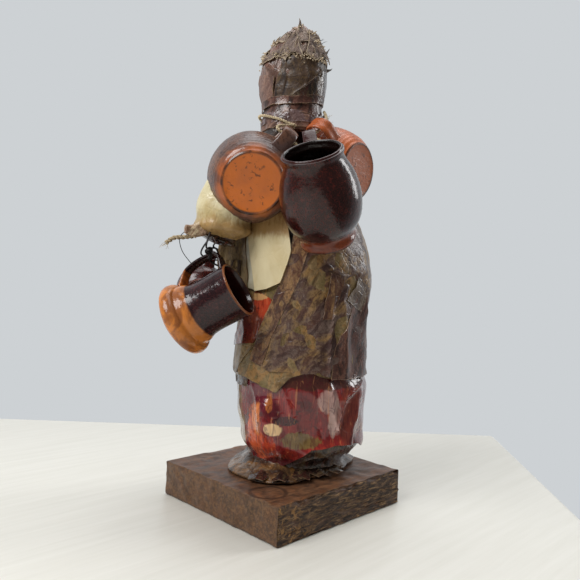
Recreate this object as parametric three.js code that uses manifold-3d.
// A papier-mache pottery seller on a square wooden block. The man, his clothes, his stretched left
// arm and the crumpled paper round his feet are one body of glued and varnished paper. The top of
// his head is torn off. Three little clay pots hang behind his shoulders on a twine round his
// neck, two more hang from his left sleeve on black wire, and his left hand holds a strand of straw.
//
// Millimetres, +Z up. The origin is the middle of the block's underside and the man faces -Y,
// so +X is his left hand and +Y is his back.

import * as THREE from "three";
import { mergeVertices } from "three/addons/utils/BufferGeometryUtils.js";
import Module from "manifold-3d";

const wasm = await Module();
wasm.setup();

// Driving sizes.
const blockSide = 127;
const blockThickness = 25.4;
const figureHeight = 340;
const clearance = 0.4; // gap left between two pieces that touch
const strapThickness = 2.8;
const twineThickness = 2.2;
const wireThickness = 1.3;
const strawThickness = 3.4;

// The shapes of pot, each by its own sizes. Heights run along the pot's axis from its foot.
const backMug = {
  height: 35, foot: 20.6, belly: 32, bellyAt: 27, mouth: 31, wall: 2.8, reach: 12, strap: 11,
};
const backJug = {
  height: 63, foot: 19, footHeight: 6, belly: 26.8, bellyAt: 29, mouth: 20.2, wall: 2.8, reach: 12, strap: 9,
};
const armMug = {
  height: 51, foot: 26, footHeight: 12, body: 19.2, mouth: 19.6, wall: 2.4, reach: 12, strap: 9,
};
const armJug = {
  height: 42, foot: 13, footHeight: 4, belly: 20, bellyAt: 19, mouth: 14.5, wall: 2.4, reach: 10, strap: 8,
};

// A jug's foot bulges out and draws in again above, and its lip stands out from its neck.
const footBulge = 0.6;
const footWaist = 0.4;
const lipOverhang = 1;
const lipRounding = 0.8;
const tankardFootAt = 0.55; // a tankard's foot is widest at this share of its height

const straightRun = 3; // a string runs straight this far past a handle's strap
const overcut = 1; // a cutter runs this far past the face it cuts

// How finely round forms are faceted.
const potSegments = 18;
const bodySegments = 34;
const padSegments = 26;

const turn = Math.PI * 2;
const radians = THREE.MathUtils.degToRad;
const vector = (x, y, z) => new THREE.Vector3(x, y, z);
const rise = THREE.MathUtils.smoothstep;

// How far one angle is from another, the short way round.
const away = (angle, from) => Math.atan2(Math.sin(angle - from), Math.cos(angle - from));

// A height on the man, as a share of his own height above the block's top.
const high = (share) => blockThickness + clearance + share * figureHeight;
// A width or depth on the man, as a share of the same height.
const wide = (share) => share * figureHeight;
// A place on the man by shares of his height.
const onMan = (x, y, z) => vector(wide(x), wide(y), high(z));

// A closed three.js geometry as a manifold-3d solid: only positions are kept and merged.
function solidOf(geometry) {
  const bare = geometry.clone();
  bare.deleteAttribute("normal");
  bare.deleteAttribute("uv");
  const merged = mergeVertices(bare, 1e-3);
  const corners = merged.index.array;
  const kept = [];
  for (let i = 0; i < corners.length; i += 3) {
    const [a, b, c] = [corners[i], corners[i + 1], corners[i + 2]];
    if (a !== b && b !== c && c !== a) kept.push(a, b, c);
  }
  const build = (triangles) =>
    new wasm.Manifold(
      new wasm.Mesh({
        numProp: 3,
        vertProperties: new Float32Array(merged.attributes.position.array),
        triVerts: new Uint32Array(triangles),
      }),
    );
  const solid = build(kept);
  if (solid.volume() >= 0) return solid;
  const flipped = [];
  for (let i = 0; i < kept.length; i += 3) flipped.push(kept[i], kept[i + 2], kept[i + 1]);
  return build(flipped);
}

// The solid as a three.js geometry.
function geometryOf(solid) {
  const { vertProperties, triVerts } = solid.getMesh();
  const geometry = new THREE.BufferGeometry();
  geometry.setAttribute("position", new THREE.BufferAttribute(new Float32Array(vertProperties), 3));
  geometry.setIndex(new THREE.BufferAttribute(new Uint32Array(triVerts), 1));
  geometry.computeVertexNormals();
  return geometry;
}

function moved(solid, matrix) {
  return solidOf(geometryOf(solid).applyMatrix4(matrix));
}

// A closed skin through rings of points, each ring with as many points, ended by a fan at each end.
function loft(rings) {
  const count = rings[0].length;
  const points = rings.flat();
  const triangles = [];
  for (let r = 0; r + 1 < rings.length; r++) {
    for (let i = 0; i < count; i++) {
      const next = (i + 1) % count;
      const [a, b] = [r * count + i, r * count + next];
      triangles.push(a, b, b + count, a, b + count, a + count);
    }
  }
  for (const [ring, flip] of [[0, true], [rings.length - 1, false]]) {
    const centre = rings[ring].reduce((sum, p) => sum.add(p), vector(0, 0, 0)).divideScalar(count);
    points.push(centre);
    const middle = points.length - 1;
    for (let i = 0; i < count; i++) {
      const [a, b] = [ring * count + i, ring * count + ((i + 1) % count)];
      triangles.push(...(flip ? [b, a, middle] : [a, b, middle]));
    }
  }
  const geometry = new THREE.BufferGeometry().setFromPoints(points);
  geometry.setIndex(triangles);
  return solidOf(geometry);
}

// A tube or strap along a curve.
function sweep(curve, section, stepsAlong) {
  const options = { steps: stepsAlong, bevelEnabled: false, extrudePath: curve };
  return solidOf(new THREE.ExtrudeGeometry(section, options));
}

function roundSection(radius, sides) {
  const ring = Array.from({ length: sides }, (_, i) => {
    const angle = (i / sides) * turn;
    return new THREE.Vector2(Math.cos(angle) * radius, Math.sin(angle) * radius);
  });
  return new THREE.Shape(ring);
}

// The man's body by stations up his height. Each station is
// [height, half width, half depth, middle x, middle y], all as shares of his height.
const bodyStations = [
  [0, 0.106, 0.096, -0.026, 0.018],
  [0.022, 0.109, 0.098, -0.028, 0.018],
  [0.04, 0.122, 0.11, -0.034, 0.022],
  [0.062, 0.141, 0.127, -0.037, 0.024],
  [0.09, 0.144, 0.129, -0.036, 0.023],
  [0.135, 0.149, 0.134, -0.034, 0.021],
  [0.183, 0.153, 0.139, -0.033, 0.02],
  [0.212, 0.152, 0.135, -0.03, 0.016],
  [0.25, 0.151, 0.134, -0.03, 0.016],
  [0.32, 0.15, 0.133, -0.031, 0.017],
  [0.405, 0.15, 0.135, -0.035, 0.02],
  [0.455, 0.149, 0.132, -0.034, 0.019],
  [0.505, 0.146, 0.123, -0.032, 0.016],
  [0.565, 0.14, 0.106, -0.027, 0.007],
  [0.617, 0.134, 0.084, -0.018, -0.002],
  [0.66, 0.126, 0.067, -0.008, -0.008],
  [0.697, 0.112, 0.056, -0.001, -0.01],
  [0.727, 0.086, 0.052, 0.003, -0.009],
  [0.75, 0.068, 0.056, 0.004, -0.006],
];
const headStations = [
  [0.74, 0.067, 0.07, 0.004, -0.004],
  [0.765, 0.066, 0.07, 0.004, -0.003],
  [0.785, 0.062, 0.067, 0.004, -0.003],
  [0.803, 0.06, 0.069, 0.005, -0.005],
  [0.83, 0.063, 0.078, 0.005, -0.007],
  [0.868, 0.064, 0.081, 0.005, -0.006],
  [0.9, 0.063, 0.078, 0.005, -0.005],
  [0.925, 0.055, 0.066, 0.004, -0.003],
  [0.95, 0.043, 0.049, 0.002, 0.002],
  [0.97, 0.028, 0.031, -0.001, 0.007],
  [0.985, 0.009, 0.01, -0.002, 0.009],
];

// A station's values at any height, on a smooth curve through the stations.
function stationAt(stations, height) {
  const last = stations.length - 1;
  let i = 0;
  while (i < last - 1 && stations[i + 1][0] < height) i++;
  const [p0, p1, p2, p3] = [Math.max(i - 1, 0), i, i + 1, Math.min(i + 2, last)].map((k) => stations[k]);
  const t = THREE.MathUtils.clamp((height - p1[0]) / (p2[0] - p1[0]), 0, 1);
  const slope = (before, after, k) => (after[k] - before[k]) / (after[0] - before[0] || 1);
  return [1, 2, 3, 4].map((k) => {
    const span = p2[0] - p1[0];
    const [m1, m2] = [slope(p0, p2, k) * span, slope(p1, p3, k) * span];
    const [t2, t3] = [t * t, t * t * t];
    const fromStart = (2 * t3 - 3 * t2 + 1) * p1[k] + (t3 - 2 * t2 + t) * m1;
    return fromStart + (3 * t2 - 2 * t3) * p2[k] + (t3 - t2) * m2;
  });
}

// Long folds in the paper: a ridge (out) or a furrow (in) that runs up the body and may lean.
// angle and lean are in degrees round the body, the rest are shares of his height.
const folds = [
  { angle: 84, lean: -6, from: 0.2, to: 0.38, width: 5, out: 0.012 },
  { angle: 112, lean: 0, from: 0.2, to: 0.55, width: 9, out: 0.008 },
  { angle: 96, lean: 22, from: 0.05, to: 0.2, width: 7, out: 0.016 },
  { angle: 20, lean: -12, from: 0.04, to: 0.17, width: 10, out: 0.014 },
  { angle: 52, lean: 8, from: 0.04, to: 0.15, width: 12, out: -0.012 },
  { angle: 160, lean: 6, from: 0.05, to: 0.6, width: 10, out: 0.01 },
  { angle: 205, lean: -5, from: 0.05, to: 0.55, width: 9, out: -0.01 },
  { angle: 262, lean: 0, from: 0.03, to: 0.32, width: 7, out: -0.02 },
  { angle: 300, lean: 5, from: 0.05, to: 0.4, width: 11, out: 0.01 },
];

function foldAt(angle, height) {
  let out = 0;
  for (const fold of folds) {
    const along = (height - fold.from) / (fold.to - fold.from);
    if (along <= 0 || along >= 1) continue;
    const middle = radians(fold.angle + fold.lean * (along - 0.5));
    const sideways = away(angle, middle) / radians(fold.width);
    out += fold.out * Math.exp(-sideways * sideways) * Math.sin(Math.PI * along);
  }
  return out;
}

// A point on the body at an angle from +X and a share of his height, standing proud by some mm.
function onBody(angle, height, proud = 0) {
  const [halfWidth, halfDepth, middleX, middleY] = stationAt(bodyStations, height);
  const fold = wide(foldAt(angle, height)) + proud;
  return vector(
    wide(middleX) + Math.cos(angle) * (wide(halfWidth) + fold),
    wide(middleY) + Math.sin(angle) * (wide(halfDepth) + fold),
    high(height),
  );
}

function trunk() {
  const levels = 15;
  const [bottom, top] = [bodyStations[0][0], bodyStations[bodyStations.length - 1][0]];
  return loft(
    Array.from({ length: levels + 1 }, (_, level) =>
      Array.from({ length: bodySegments }, (_, i) =>
        onBody((i / bodySegments) * turn, THREE.MathUtils.lerp(bottom, top, level / levels)),
      ),
    ),
  );
}

// A sheet of paper laid on the body between two side edges, a hem and a top edge. left and right
// give an angle in degrees up the sheet, hem and top a height across it, both for 0 to 1. proud
// is how far its outer face stands out, and its inner face is sunk into the body.
const sheetSunk = 0.0088;
function sheet({ left, right, hem, top, columns, rows, proud }) {
  const outside = [];
  const inside = [];
  for (let row = 0; row <= rows; row++) {
    const up = row / rows;
    const outer = [];
    const inner = [];
    for (let column = 0; column <= columns; column++) {
      const across = column / columns;
      const angle = radians(THREE.MathUtils.lerp(left(up), right(up), across));
      const height = THREE.MathUtils.lerp(hem(across), top(across), up);
      outer.push(onBody(angle, height, wide(proud(across, up))));
      inner.push(onBody(angle, height, -wide(sheetSunk)));
    }
    outside.push(outer);
    inside.push(inner);
  }
  return loft(outside.map((outer, row) => [...outer, ...inside[row].slice().reverse()]));
}

// A value that runs evenly through a list as t goes from 0 to 1.
const steps = (values) => (t) => {
  const place = t * (values.length - 1);
  const i = Math.min(Math.floor(place), values.length - 2);
  return THREE.MathUtils.lerp(values[i], values[i + 1], place - i);
};

// The coat over his right shoulder and his back, the tunic under it, the shirt tail that shows
// beside it, and the hem of the baggy trousers.
function clothes() {
  const coat = sheet({
    left: steps([2, 12, 28, 34, 40]),
    right: steps([262, 258, 256, 250, 246]),
    hem: steps([0.242, 0.212, 0.212, 0.214, 0.213, 0.216, 0.22]),
    top: () => 0.665,
    columns: 18,
    rows: 5,
    proud: (across, up) => 0.0076 + 0.0047 * Math.sin(across * 21) * (1 - up),
  });
  const tunic = sheet({
    left: () => -128,
    right: () => 96,
    hem: steps([0.225, 0.222, 0.218, 0.222, 0.228, 0.182, 0.212, 0.214, 0.212]),
    top: () => 0.46,
    columns: 18,
    rows: 2,
    proud: (across, up) => 0.0047 + 0.0035 * Math.sin(across * 30) * (1 - up),
  });
  const shirtTail = sheet({
    left: steps([-6, -8, -8]),
    right: steps([27, 34, 38]),
    hem: steps([0.398, 0.386, 0.391, 0.402]),
    top: () => 0.66,
    columns: 5,
    rows: 3,
    proud: (across) => 0.0071 + 0.0024 * Math.sin(across * 9),
  });
  const trouserHem = sheet({
    left: () => -80,
    right: () => 150,
    hem: steps([0.06, 0.035, 0.05, 0.07, 0.036, 0.066, 0.078, 0.05, 0.06]),
    top: () => 0.2,
    columns: 17,
    rows: 2,
    proud: (across, up) => 0.0071 - 0.0047 * up + 0.0035 * Math.sin(across * 27),
  });
  return [coat, tunic, shirtTail, trouserHem];
}

// The crumpled sheet round his feet: how far it spreads at each angle, in degrees from +X.
const padSpread = [
  [0, 0.142], [22, 0.152], [40, 0.155], [60, 0.13], [90, 0.116], [115, 0.12], [140, 0.148],
  [158, 0.185], [168, 0.182], [180, 0.142], [215, 0.13], [250, 0.136], [285, 0.128], [320, 0.12],
];

function spreadAt(angle) {
  const degrees = ((THREE.MathUtils.radToDeg(angle) % 360) + 360) % 360;
  const next = padSpread.findIndex(([at]) => at > degrees);
  const [a0, r0] = padSpread[next < 0 ? padSpread.length - 1 : next - 1];
  const [a1, r1] = next < 0 ? [360, padSpread[0][1]] : padSpread[next];
  return THREE.MathUtils.lerp(r0, r1, (degrees - a0) / (a1 - a0));
}

function footPad() {
  const rings = [[1, 0], [1.01, 0.006], [0.93, 0.013], [0.8, 0.03], [0.62, 0.07]];
  return loft(
    rings.map(([share, height], ring) =>
      Array.from({ length: padSegments }, (_, i) => {
        const angle = (i / padSegments) * turn;
        const crumple = ring === 0 ? 0 : 0.003 * Math.sin(angle * 11 + ring * 2);
        const spread = wide(spreadAt(angle) * share + crumple);
        const level = height + (ring === 0 ? 0 : Math.abs(crumple));
        return vector(wide(-0.005) + Math.cos(angle) * spread, Math.sin(angle) * spread, high(level));
      }),
    ),
  );
}

// Rings round a curve, for a sleeve, an arm or a twisted strand.
// radiusAt(along, angle) gives the ring's radius in mm.
function limb(points, rings, sides, radiusAt) {
  const curve = new THREE.CatmullRomCurve3(points);
  const frames = curve.computeFrenetFrames(rings);
  return loft(
    Array.from({ length: rings + 1 }, (_, ring) => {
      const along = ring / rings;
      const middle = curve.getPointAt(along);
      return Array.from({ length: sides }, (_, i) => {
        const angle = (i / sides) * turn;
        const radius = radiusAt(along, angle);
        return middle
          .clone()
          .addScaledVector(frames.normals[ring], Math.cos(angle) * radius)
          .addScaledVector(frames.binormals[ring], Math.sin(angle) * radius);
      });
    }),
  );
}

// The middle lines of his arms and hands. The left arm reaches out to his side, the right one is
// bent across his chest.
const leftArm = [
  onMan(0.075, -0.014, 0.675),
  onMan(0.125, -0.02, 0.64),
  onMan(0.157, -0.03, 0.58),
  onMan(0.166, -0.038, 0.5),
];
const leftHand = [
  onMan(0.18, -0.035, 0.535),
  onMan(0.222, -0.043, 0.506),
  onMan(0.256, -0.05, 0.51),
];
const strawRoute = [
  onMan(0.226, -0.044, 0.494),
  onMan(0.247, -0.054, 0.49),
  onMan(0.266, -0.063, 0.487),
  onMan(0.283, -0.071, 0.474),
];
const rightArm = [
  onMan(-0.1, -0.02, 0.665),
  onMan(-0.158, -0.03, 0.6),
  onMan(-0.168, -0.06, 0.5),
  onMan(-0.12, -0.125, 0.47),
  onMan(-0.045, -0.15, 0.5),
];
const rightHand = [onMan(-0.05, -0.148, 0.5), onMan(-0.02, -0.152, 0.512), onMan(0, -0.15, 0.52)];

function arms() {
  const puff = steps([0.046, 0.056, 0.06, 0.064, 0.055]);
  const sleeve = limb(leftArm, 8, 14, (along, angle) => {
    const crease = 0.004 * Math.sin(angle * 5 + along * 4);
    return wide(puff(along) + crease * Math.sin(Math.PI * along));
  });
  const wrist = limb(leftHand, 4, 8, (along) => wide(0.016 + 0.006 * Math.sin(Math.PI * along)));
  const rightPuff = steps([0.045, 0.055, 0.056, 0.05, 0.046]);
  const rightSleeve = limb(rightArm, 10, 12, (along, angle) =>
    wide(rightPuff(along) + 0.004 * Math.sin(angle * 4 + along * 5)),
  );
  const rightFist = limb(rightHand, 3, 8, (along) => wide(0.024 + 0.006 * Math.sin(Math.PI * along)));
  return [sleeve, wrist, rightSleeve, rightFist];
}

// The head's wrappings and features, as shares of his height that stand out from the head.
const headAngle = { front: radians(270), back: radians(90), leftEar: radians(352), rightEar: radians(188) };

// A soft bump: how far out, where, and how wide in degrees and as a share up the head.
const faceBumps = [
  { out: 0.016, at: headAngle.front, height: 0.866, spread: 8, tall: 0.011 }, // tip of the nose
  { out: 0.008, at: headAngle.front, height: 0.888, spread: 6, tall: 0.014 }, // bridge of the nose
  { out: 0.006, at: headAngle.front, height: 0.91, spread: 34, tall: 0.008 }, // brow
  { out: 0.006, at: headAngle.front, height: 0.837, spread: 13, tall: 0.006 }, // lips
  { out: 0.008, at: headAngle.front, height: 0.806, spread: 16, tall: 0.012 }, // chin
  { out: -0.007, at: headAngle.front - radians(24), height: 0.893, spread: 12, tall: 0.009 }, // eye hollow
  { out: -0.007, at: headAngle.front + radians(24), height: 0.893, spread: 12, tall: 0.009 }, // eye hollow
  { out: 0.005, at: headAngle.front - radians(38), height: 0.862, spread: 16, tall: 0.016 }, // cheek
  { out: 0.005, at: headAngle.front + radians(38), height: 0.862, spread: 16, tall: 0.016 }, // cheek
  { out: 0.01, at: headAngle.leftEar, height: 0.886, spread: 9, tall: 0.013 }, // left ear
  { out: 0.01, at: headAngle.rightEar, height: 0.886, spread: 9, tall: 0.013 }, // right ear
];

// The ragged edge where the head's outer sheets are torn off.
const tornEdge = (angle) => 0.912 + 0.012 * Math.sin(angle * 3 + 1) + 0.007 * Math.sin(angle * 8);

// How far the head's surface stands out from its smooth stations: the face, the back of the
// hood, the two bands round the neck and the torn top.
function headOut(angle, height) {
  let out = 0;
  for (const bump of faceBumps) {
    const sideways = away(angle, bump.at) / radians(bump.spread);
    const upward = (height - bump.height) / bump.tall;
    out += bump.out * Math.exp(-sideways * sideways - upward * upward);
  }
  const behind = 1 - rise(Math.abs(away(angle, headAngle.back)), radians(72), radians(82));
  const edge = tornEdge(angle);
  const hood = rise(height, 0.802, 0.806) * (1 - rise(height, edge - 0.004, edge + 0.004));
  out += 0.006 * behind * hood;
  const lowerBand = rise(height, 0.762, 0.767) * (1 - rise(height, 0.782, 0.786));
  const upperBand = rise(height, 0.786, 0.79) * (1 - rise(height, 0.803, 0.807));
  const underChin = rise(Math.abs(away(angle, headAngle.front)), 0.9, 0.3);
  out += 0.005 * lowerBand + 0.007 * upperBand * (1 - 0.6 * underChin);
  const torn = rise(height, 0.93, 0.96);
  out += torn * (0.004 * Math.sin(angle * 7 + height * 60) + 0.003 * Math.sin(angle * 12));
  return out;
}

function head() {
  const sides = 22;
  const rows = 22;
  const [bottom, top] = [headStations[0][0], headStations[headStations.length - 1][0]];
  return loft(
    Array.from({ length: rows + 1 }, (_, row) => {
      const height = THREE.MathUtils.lerp(bottom, top, row / rows);
      const [halfWidth, halfDepth, middleX, middleY] = stationAt(headStations, height);
      return Array.from({ length: sides }, (_, i) => {
        const angle = (i / sides) * turn;
        const out = headOut(angle, height);
        const jag = 0.006 * rise(height, 0.94, 0.99) * Math.sin(angle * 4 + 1);
        return onMan(
          middleX + Math.cos(angle) * (halfWidth + out),
          middleY + Math.sin(angle) * (halfDepth + out),
          height + jag,
        );
      });
    }),
  );
}

// Torn scraps that stand out of the top of the head: place, direction and length as shares.
const scraps = [
  { foot: [-0.042, 0.03, 0.94], way: [-0.8, 0.5, 0.35], length: 0.035 },
  { foot: [-0.05, 0.025, 0.895], way: [-0.7, 0.6, 0.4], length: 0.035 },
  { foot: [0.012, 0.012, 0.97], way: [0.1, 0.2, 1], length: 0.05 },
  { foot: [-0.02, 0.015, 0.96], way: [-0.35, 0.35, 0.9], length: 0.045 },
  { foot: [0.036, -0.01, 0.945], way: [0.6, -0.4, 0.7], length: 0.04 },
];

function tornScraps() {
  return scraps.map(({ foot, way, length }) => {
    const scrap = new THREE.ConeGeometry(wide(0.019), wide(length), 4);
    scrap.rotateX(Math.PI / 2);
    scrap.scale(1, 0.5, 1);
    scrap.applyMatrix4(frameAt(onMan(...foot), vector(...way), vector(0, 0, 1)));
    return solidOf(scrap);
  });
}

// A frame at a place whose Z runs along the axis and whose X leans towards the side given.
function frameAt(place, axis, side) {
  const up = axis.clone().normalize();
  const across = side.clone().addScaledVector(up, -side.dot(up)).normalize();
  const third = new THREE.Vector3().crossVectors(up, across);
  return new THREE.Matrix4().makeBasis(across, third, up).setPosition(place);
}

// The outside of a pot from its foot to its mouth, as [radius, height] pairs.
const outsides = {
  bowl: ({ height, foot, belly, bellyAt, mouth }) => [
    [foot, 0],
    [foot + (belly - foot) * 0.42, bellyAt * 0.2],
    [foot + (belly - foot) * 0.8, bellyAt * 0.55],
    [belly, bellyAt],
    [mouth, height],
  ],
  jug: ({ height, foot, footHeight, belly, bellyAt, mouth }) => [
    [foot, 0],
    [foot + footBulge, footHeight * 0.5],
    [foot - footWaist, footHeight],
    [foot + (belly - foot) * 0.72, footHeight + (bellyAt - footHeight) * 0.45],
    [belly, bellyAt],
    [belly + (mouth - belly) * 0.3, bellyAt + (height - bellyAt) * 0.42],
    [mouth - lipOverhang, height * 0.92],
    [mouth, height * 0.97],
    [mouth - lipRounding, height],
  ],
  tankard: ({ height, foot, footHeight, body, mouth }) => [
    [foot * 0.8, 0],
    [foot * 0.97, footHeight * 0.25],
    [foot, footHeight * tankardFootAt],
    [foot * 0.93, footHeight * 0.9],
    [body + (foot - body) * 0.42, footHeight],
    [body + (foot - body) * 0.34, footHeight * 1.25],
    [body, height * 0.42],
    [body, height * 0.9],
    [mouth, height],
  ],
};

function turned(profile) {
  const points = profile.map(([radius, height]) => new THREE.Vector2(Math.max(radius, 0), height));
  return solidOf(new THREE.LatheGeometry(points, potSegments).rotateX(Math.PI / 2));
}

// The line of a pot's strap handle in the pot's own frame, standing out along X.
function handleLine(pot, outside) {
  const radiusNear = (height) => {
    const next = outside.findIndex(([, at]) => at >= height);
    const [[r0, h0], [r1, h1]] = [outside[Math.max(next - 1, 0)], outside[next]];
    return THREE.MathUtils.lerp(r0, r1, (height - h0) / (h1 - h0 || 1));
  };
  const [low, top] = pot.handle.map((share) => share * pot.height);
  const out = Math.max(radiusNear(low), radiusNear(top)) + pot.reach - strapThickness / 2;
  const sink = pot.wall * 0.8; // the handle's ends go this far into the wall
  return new THREE.CatmullRomCurve3(
    [
      vector(radiusNear(top) - sink, 0, top),
      vector(out - pot.reach * 0.25, 0, top + pot.lift),
      vector(out, 0, THREE.MathUtils.lerp(top, low, 0.3)),
      vector(out - pot.reach * 0.2, 0, THREE.MathUtils.lerp(top, low, 0.75)),
      vector(radiusNear(low) - sink, 0, low),
    ],
    false,
    "centripetal",
  );
}

function strap(line, width, extra = 0) {
  const [halfWidth, halfThickness] = [width / 2 + extra, strapThickness / 2 + extra];
  const flat = halfWidth - halfThickness;
  const section = new THREE.Shape([
    new THREE.Vector2(-halfWidth, 0),
    new THREE.Vector2(-flat, -halfThickness),
    new THREE.Vector2(flat, -halfThickness),
    new THREE.Vector2(halfWidth, 0),
    new THREE.Vector2(flat, halfThickness),
    new THREE.Vector2(-flat, halfThickness),
  ]);
  return sweep(line, section, 9);
}

// A hollow pot with a strap handle, in its own frame: foot at the origin, mouth up, handle on +X.
// room is the space the pot takes up, clearance and all.
function makePot(pot, shape) {
  const outside = outsides[shape](pot);
  const inside = outside
    .filter(([, height], i) => i % 2 === 0 && height > pot.wall && height < pot.height)
    .map(([radius, height]) => [radius - pot.wall, height]);
  const [mouthRadius] = outside[outside.length - 1];
  const [firstRadius] = inside[0];
  const floorRadius = firstRadius * 0.85;
  const full = turned([[0, 0], ...outside, [0, pot.height]]);
  const hollow = turned([
    [0, pot.wall],
    [floorRadius, pot.wall],
    ...inside,
    [mouthRadius - pot.wall * 0.8, pot.height + overcut],
    [0, pot.height + overcut],
  ]);
  const line = handleLine(pot, outside);
  const solid = full.add(strap(line, pot.strap)).subtract(hollow);
  const grown = outside.map(([radius, height]) => [radius + clearance, height]);
  const [base] = grown;
  const room = turned([
    [0, -clearance],
    [base[0], -clearance],
    ...grown,
    [mouthRadius + clearance, pot.height + clearance],
    [0, pot.height + clearance],
  ]).add(strap(line, pot.strap, clearance));
  return { solid, room, line };
}

// A point round a pot's axis, in its own frame: its distance from the axis, its angle in degrees
// from the handle and its height above the foot.
const roundPoint = (radius, degrees, height) =>
  vector(Math.cos(radians(degrees)) * radius, Math.sin(radians(degrees)) * radius, height);

// A point beside a handle's strap, at a share of its line, in the pot's own frame: so far outside
// the middle of the strap's thickness, or inside it where proud is negative.
function besideStrap({ line }, share, proud) {
  const along = line.getTangentAt(share);
  return line.getPointAt(share).add(vector(-along.z, 0, along.x).multiplyScalar(proud));
}

// The middle of the hole in a pot's handle, in its own frame.
const holeOf = (entry, share) => besideStrap(entry, share, -strapThickness / 2 - entry.pot.reach * 0.3);

// The five pots: which way each opens, where its handle points, and the point of it (held, in its
// own frame) that stays at a place. The right mug is pressed into his shoulder by its mouth, the jug
// stands on his coat by the rim of its foot, and the left mug's foot leans towards the jug's belly.
// The front mug hangs by its handle, and the rear jug's underside leans on the front mug's foot.
const mugWireShare = 0.3; // where the wire lies in the front mug's handle
const besideJug = 1.2588671965; // the left mug's foot stands so far outside the jug's widest ring
const aboveBelly = 10.0388218984; // and so far above it
const leanShare = 0.5793552442; // the rear jug leans on its underside this share of the way out to its rim
const pots = {
  right_back_mug: {
    pot: { ...backMug, handle: [0.3, 0.82], lift: 0 },
    shape: "bowl",
    held: ({ pot }) => vector(0, 0, pot.height),
    at: () => onMan(-0.062, 0.028, 0.672),
    axis: vector(0.13, -0.98, 0.16),
    side: vector(0.74, 0, 0.67),
    color: 0x8f4a26,
  },
  back_jug: {
    pot: { ...backJug, handle: [0.56, 0.93], lift: 6 },
    shape: "jug",
    held: ({ pot }) => roundPoint(pot.foot, 30, 0),
    at: () => onMan(0.0524331024, 0.1189061474, 0.511072625),
    axis: vector(0.53, 0.22, 0.82),
    side: vector(-0.56, -0.63, 0.53),
    color: 0x4a1a12,
  },
  left_back_mug: {
    pot: { ...backMug, handle: [0.3, 0.82], lift: 0 },
    shape: "bowl",
    held: ({ pot }) => roundPoint(pot.foot, 50, 0),
    at: ({ back_jug: { pot, matrix } }) =>
      roundPoint(pot.belly + besideJug, 52.8082635284, pot.bellyAt + aboveBelly).applyMatrix4(matrix),
    axis: vector(-0.62, -0.72, 0.32),
    side: vector(-0.3, 0.58, 0.76),
    color: 0x8f4a26,
  },
  front_hand_mug: {
    pot: { ...armMug, handle: [0.22, 0.88], lift: 0 },
    shape: "tankard",
    held: (entry) => holeOf(entry, mugWireShare),
    at: () => onMan(0.1888704794, -0.0275304018, 0.4432271756),
    axis: vector(-0.45, 0.75, 0.49),
    side: vector(-0.1, -0.3, 0.8),
    color: 0x5a2416,
  },
  rear_hand_jug: {
    pot: { ...armJug, handle: [0.5, 0.92], lift: 1.5 },
    shape: "jug",
    held: ({ pot }) => roundPoint(pot.foot * leanShare, -142.483411, -clearance),
    at: ({ front_hand_mug: { pot, matrix } }) =>
      roundPoint(pot.foot, -46.7972386, pot.footHeight * tankardFootAt).applyMatrix4(matrix),
    axis: vector(-0.6, -0.75, 0.25),
    side: vector(-0.15, 0.15, 0.95),
    color: 0x4a1a12,
  },
};

for (const entry of Object.values(pots)) {
  const made = makePot(entry.pot, entry.shape);
  entry.line = made.line;
  const axis = entry.axis.clone().normalize();
  const held = entry.held(entry).applyMatrix4(frameAt(vector(0, 0, 0), axis, entry.side));
  entry.matrix = frameAt(entry.at(pots).sub(held), axis, entry.side);
  entry.solid = moved(made.solid, entry.matrix);
  entry.room = moved(made.room, entry.matrix);
}

// Two points that carry a string straight through a handle, along the third axis of the pot's
// frame. way is 1 or -1 for the direction, and a larger number leaves the handle further behind.
function through(entry, way, share = 0.5) {
  const third = vector(0, 0, 0);
  entry.matrix.extractBasis(vector(0, 0, 0), third, vector(0, 0, 0));
  const hole = holeOf(entry, share).applyMatrix4(entry.matrix);
  const beyond = way * (entry.pot.strap / 2 + straightRun);
  return [hole.clone().addScaledVector(third, -beyond), hole.clone().addScaledVector(third, beyond)];
}

// A round string of any thickness through the points.
function strand(points, thickness, sides, stepsAlong) {
  const curve = new THREE.CatmullRomCurve3(points, false, "centripetal");
  return sweep(curve, roundSection(thickness / 2, sides), stepsAlong);
}

// A point on a ring round his neck, in degrees from +X, standing clear of the wrappings.
function onNeck(degrees, height, thickness) {
  const [halfWidth, halfDepth, middleX, middleY] = stationAt(headStations, height);
  const angle = radians(degrees);
  const proud = thickness / 2 + clearance + wide(headOut(angle, height));
  return vector(
    wide(middleX) + Math.cos(angle) * (wide(halfWidth) + proud),
    wide(middleY) + Math.sin(angle) * (wide(halfDepth) + proud),
    high(height),
  );
}

// The twine knotted round his neck, which runs through the handles of the three pots behind him.
function neckTwine(extra = 0) {
  const ring = (degrees, height) => onNeck(degrees, height, twineThickness);
  const knot = ring(48, 0.742);
  const route = [
    knot,
    ring(20, 0.757),
    ring(350, 0.77),
    ring(315, 0.778),
    ring(270, 0.776),
    ring(225, 0.78),
    ring(185, 0.786),
    ring(150, 0.79),
    ring(120, 0.788),
    ...through(pots.right_back_mug, -1),
    ...through(pots.back_jug, 1),
    ...through(pots.left_back_mug, -1),
    knot,
  ];
  const knotRadius = twineThickness * 1.1;
  const ball = new THREE.IcosahedronGeometry(knotRadius + extra, 1).translate(...knot.toArray());
  return strand(route, twineThickness + 2 * extra, 5, 52).add(solidOf(ball));
}

// The twisted strand of straw in his left hand, two plies and a frayed end.
function handStraw(extra = 0) {
  const [start, next] = strawRoute;
  const inner = start.clone().sub(next).normalize().multiplyScalar(extra).add(start);
  return limb([inner, ...strawRoute.slice(1)], 9, 8, (along, angle) => {
    const plies = 0.45 * Math.cos(2 * (angle - along * 7));
    return strawThickness / 2 + plies * (1 - 0.5 * along) + 0.9 * rise(along, 0.8, 1) + extra;
  });
}

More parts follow.
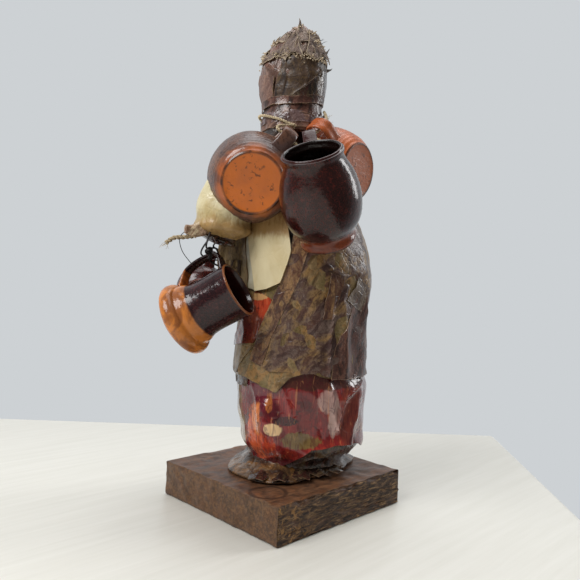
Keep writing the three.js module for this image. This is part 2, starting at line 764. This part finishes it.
// The way a pot's handle points.
function outwards({ matrix }) {
  const out = vector(0, 0, 0);
  matrix.extractBasis(out, vector(0, 0, 0), vector(0, 0, 0));
  return out;
}

// A point just outside a handle's strap, for a string that goes back over it.
function overStrap(entry, share, thickness) {
  const proud = strapThickness / 2 + thickness * 2 + clearance;
  return besideStrap(entry, share, proud).applyMatrix4(entry.matrix);
}

// The black wire that ties the two pots to his sleeve: a loop through each handle, a loop through
// the paper of the sleeve's underside, and a tangle of coils with a loose end where they meet.
const wireKnot = onMan(0.213, -0.016, 0.464);
const sleeveStitch = onMan(0.182, -0.03, 0.525);
const looseEnd = 2.4; // how far the end hangs below the tangle, in strand gaps
const coilTilts = [20, 110]; // degrees

function wireTie(extra = 0) {
  const gap = wireThickness * 1.7; // between neighbouring strands of the tangle
  const beside = (x, y, z) => wireKnot.clone().add(vector(x * gap, y * gap, z * gap));
  const overJug = overStrap(pots.rear_hand_jug, 0.5, wireThickness);
  const [, farSide] = through(pots.rear_hand_jug, 1.3, 0.5);
  const leave = farSide.addScaledVector(outwards(pots.rear_hand_jug), strapThickness * 2);
  const stitchEnd = sleeveStitch.clone().add(vector(-gap, -gap * 1.5, -gap));
  const route = [
    beside(-1, 0, -looseEnd),
    beside(-1, 0, 0),
    ...through(pots.front_hand_mug, -1, mugWireShare),
    overStrap(pots.front_hand_mug, mugWireShare, wireThickness),
    beside(1, 0, 1),
    sleeveStitch.clone().add(vector(gap, 0, 0)),
    stitchEnd,
    ...through(pots.rear_hand_jug, 1, 0.5),
    overJug.clone().lerp(leave, 0.75),
    overJug,
    overJug.clone().lerp(stitchEnd, 0.12).add(vector(-gap, 0, gap)),
  ];
  let tie = strand(route, wireThickness + 2 * extra, 5, 48);
  for (const tilt of coilTilts) {
    const coil = new THREE.TorusGeometry(gap, wireThickness / 2 + extra, 5, 9);
    coil.rotateX(radians(tilt)).translate(...wireKnot.toArray());
    tie = tie.add(solidOf(coil));
  }
  return tie;
}

const material = (color, roughness, metalness = 0) =>
  new THREE.MeshStandardMaterial({ color, roughness, metalness });

const group = new THREE.Group();
function show(name, solid, surface) {
  const mesh = new THREE.Mesh(geometryOf(solid), surface);
  mesh.name = name;
  group.add(mesh);
}

// The largest body of a solid, without specks that a join leaves.
function mainBody(solid) {
  return solid.decompose().reduce((largest, body) => (body.volume() > largest.volume() ? body : largest));
}

// The man in one solid, hollowed a little where a pot or a string presses into the paper.
function paperFigure() {
  const layers = [...clothes(), footPad(), ...arms(), head(), ...tornScraps()];
  let paper = trunk();
  for (const solid of layers) paper = paper.add(solid);
  for (const { room } of Object.values(pots)) paper = paper.subtract(room);
  for (const string of [neckTwine, wireTie, handStraw]) paper = paper.subtract(string(clearance));
  return mainBody(paper);
}

const block = new THREE.BoxGeometry(blockSide, blockSide, blockThickness).translate(0, 0, blockThickness / 2);
show("wood_base", solidOf(block), material(0x5a3a26, 0.8));
show("paper_figure", paperFigure(), material(0x6b4a35, 0.5));
for (const [name, { solid, color }] of Object.entries(pots)) show(name, solid, material(color, 0.3));
show("neck_twine", neckTwine(), material(0xb09a68, 0.9));
show("hand_straw", handStraw(), material(0xb8a274, 0.9));
show("wire_tie", wireTie(), material(0x1c1a1c, 0.5, 0.6));

export default group;
